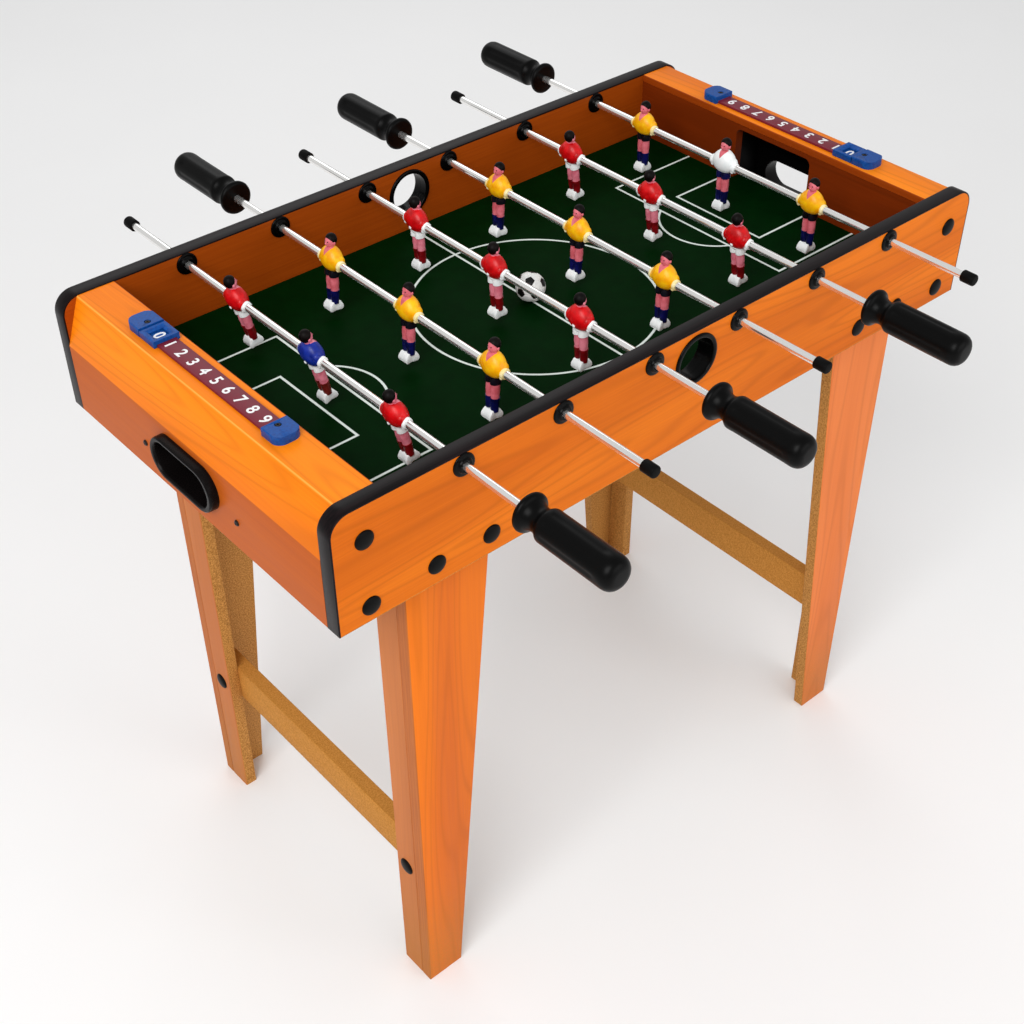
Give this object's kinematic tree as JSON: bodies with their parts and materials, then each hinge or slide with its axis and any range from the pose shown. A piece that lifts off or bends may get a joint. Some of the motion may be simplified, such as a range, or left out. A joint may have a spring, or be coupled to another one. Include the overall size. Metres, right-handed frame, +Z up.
{
  "type": "foosball table",
  "caption": "Family foosball table on four board legs: sliding, spinning rods with players over a walled green field, goals with ball outlets, and sliding score counters.",
  "frame": {"origin": "centre of the object's footprint on the floor, midway between the two ends and the two sides", "axes": "+X along the table towards its right-hand end seen from the front, +Y across it towards the back, +Z up; the front has the handles of the first, third and fifth rods"},
  "size_m": [0.706, 0.676, 0.613],
  "materials": {
    "orange_laminate": "satin orange wood-grain laminate on board",
    "dark_band": "dark brown edge band",
    "plain_wood": "raw pine",
    "green_board": "dark green printed board with white lines",
    "black_plastic": "glossy black moulding",
    "black_bolt": "black domed bolt cap",
    "screw_steel": "blackened steel",
    "maroon_plastic": "maroon moulded strip",
    "blue_plastic": "blue moulding",
    "leg_wood": "thin laminate and bare board",
    "rod_steel": "plated steel tube",
    "grip_plastic": "black moulded grip",
    "cap_rubber": "black rubber cap",
    "red_kit": "painted moulded figure, red shirt",
    "yellow_kit": "painted moulded figure, yellow shirt",
    "blue_kit": "painted moulded figure, blue shirt",
    "white_kit": "painted moulded figure, white shirt",
    "ball_plastic": "white ball with dark patches"
  },
  "bodies": {
    "table": {"side_panel_front": "orange_laminate", "side_panel_back": "orange_laminate", "edge_band_front": "dark_band", "edge_band_back": "dark_band", "end_board_left": "orange_laminate", "end_board_right": "orange_laminate", "goal_wall_left": "orange_laminate", "goal_wall_right": "orange_laminate", "corner_blocks": "plain_wood", "field_board": "green_board", "goal_liner_left": "black_plastic", "goal_liner_right": "black_plastic", "ball_outlet_left": "black_plastic", "ball_outlet_right": "black_plastic", "serve_ring_halves": "black_plastic", "rod_bushing_halves": "black_plastic", "bolts": "black_bolt", "small_screws": "screw_steel", "score_strip_left": "maroon_plastic", "score_strip_right": "maroon_plastic", "score_end_blocks": "blue_plastic", "leg_side_board_front_left": "leg_wood", "leg_side_board_front_right": "leg_wood", "leg_side_board_back_left": "leg_wood", "leg_side_board_back_right": "leg_wood", "leg_end_board_front_left": "leg_wood", "leg_end_board_front_right": "leg_wood", "leg_end_board_back_left": "leg_wood", "leg_end_board_back_right": "leg_wood", "cross_bar_left": "leg_wood", "cross_bar_right": "leg_wood"},
    "rod_carrier_1": {"rod_cap_1": "cap_rubber"},
    "rod_assembly_1": {"rod_1": "rod_steel", "handle_1": "grip_plastic", "players_1": "red_kit", "goalkeeper_left": "blue_kit"},
    "rod_carrier_2": {"rod_cap_2": "cap_rubber"},
    "rod_assembly_2": {"rod_2": "rod_steel", "handle_2": "grip_plastic", "players_2": "yellow_kit"},
    "rod_carrier_3": {"rod_cap_3": "cap_rubber"},
    "rod_assembly_3": {"rod_3": "rod_steel", "handle_3": "grip_plastic", "players_3": "red_kit"},
    "rod_carrier_4": {"rod_cap_4": "cap_rubber"},
    "rod_assembly_4": {"rod_4": "rod_steel", "handle_4": "grip_plastic", "players_4": "yellow_kit"},
    "rod_carrier_5": {"rod_cap_5": "cap_rubber"},
    "rod_assembly_5": {"rod_5": "rod_steel", "handle_5": "grip_plastic", "players_5": "red_kit"},
    "rod_carrier_6": {"rod_cap_6": "cap_rubber"},
    "rod_assembly_6": {"rod_6": "rod_steel", "handle_6": "grip_plastic", "players_6": "yellow_kit", "goalkeeper_right": "white_kit"},
    "slider_left": {"score_slider_left": "blue_plastic"},
    "slider_right": {"score_slider_right": "blue_plastic"},
    "loose_ball": {"ball": "ball_plastic"}
  },
  "joints": [
    {"name": "rod_1_slide", "type": "slide", "parent": "table", "child": "rod_carrier_1", "axis": [0, 1, 0], "range_m": [-0.044, 0.058]},
    {"name": "rod_1_spin", "type": "hinge", "parent": "rod_carrier_1", "child": "rod_assembly_1", "pos_m": [-0.23125, 0, 0.5875], "axis": [0, 1, 0], "continuous": true},
    {"name": "rod_2_slide", "type": "slide", "parent": "table", "child": "rod_carrier_2", "axis": [0, 1, 0], "range_m": [-0.045, 0.057]},
    {"name": "rod_2_spin", "type": "hinge", "parent": "rod_carrier_2", "child": "rod_assembly_2", "pos_m": [-0.13875, 0, 0.5875], "axis": [0, 1, 0], "continuous": true},
    {"name": "rod_3_slide", "type": "slide", "parent": "table", "child": "rod_carrier_3", "axis": [0, 1, 0], "range_m": [-0.049, 0.053]},
    {"name": "rod_3_spin", "type": "hinge", "parent": "rod_carrier_3", "child": "rod_assembly_3", "pos_m": [-0.04625, 0, 0.5875], "axis": [0, 1, 0], "continuous": true},
    {"name": "rod_4_slide", "type": "slide", "parent": "table", "child": "rod_carrier_4", "axis": [0, 1, 0], "range_m": [-0.049, 0.053]},
    {"name": "rod_4_spin", "type": "hinge", "parent": "rod_carrier_4", "child": "rod_assembly_4", "pos_m": [0.04625, 0, 0.5875], "axis": [0, 1, 0], "continuous": true},
    {"name": "rod_5_slide", "type": "slide", "parent": "table", "child": "rod_carrier_5", "axis": [0, 1, 0], "range_m": [-0.054, 0.048]},
    {"name": "rod_5_spin", "type": "hinge", "parent": "rod_carrier_5", "child": "rod_assembly_5", "pos_m": [0.13875, 0, 0.5875], "axis": [0, 1, 0], "continuous": true},
    {"name": "rod_6_slide", "type": "slide", "parent": "table", "child": "rod_carrier_6", "axis": [0, 1, 0], "range_m": [-0.052, 0.05]},
    {"name": "rod_6_spin", "type": "hinge", "parent": "rod_carrier_6", "child": "rod_assembly_6", "pos_m": [0.23125, 0, 0.5875], "axis": [0, 1, 0], "continuous": true},
    {"name": "score_left_slide", "type": "slide", "parent": "table", "child": "slider_left", "axis": [0, -1, 0], "range_m": [0, 0.14265]},
    {"name": "score_right_slide", "type": "slide", "parent": "table", "child": "slider_right", "axis": [0, 1, 0], "range_m": [0, 0.14265]},
    {"name": "ball_lift", "type": "slide", "parent": "table", "child": "loose_ball", "axis": [0, 0, 1], "range_m": [0, 0.15]}
  ]
}
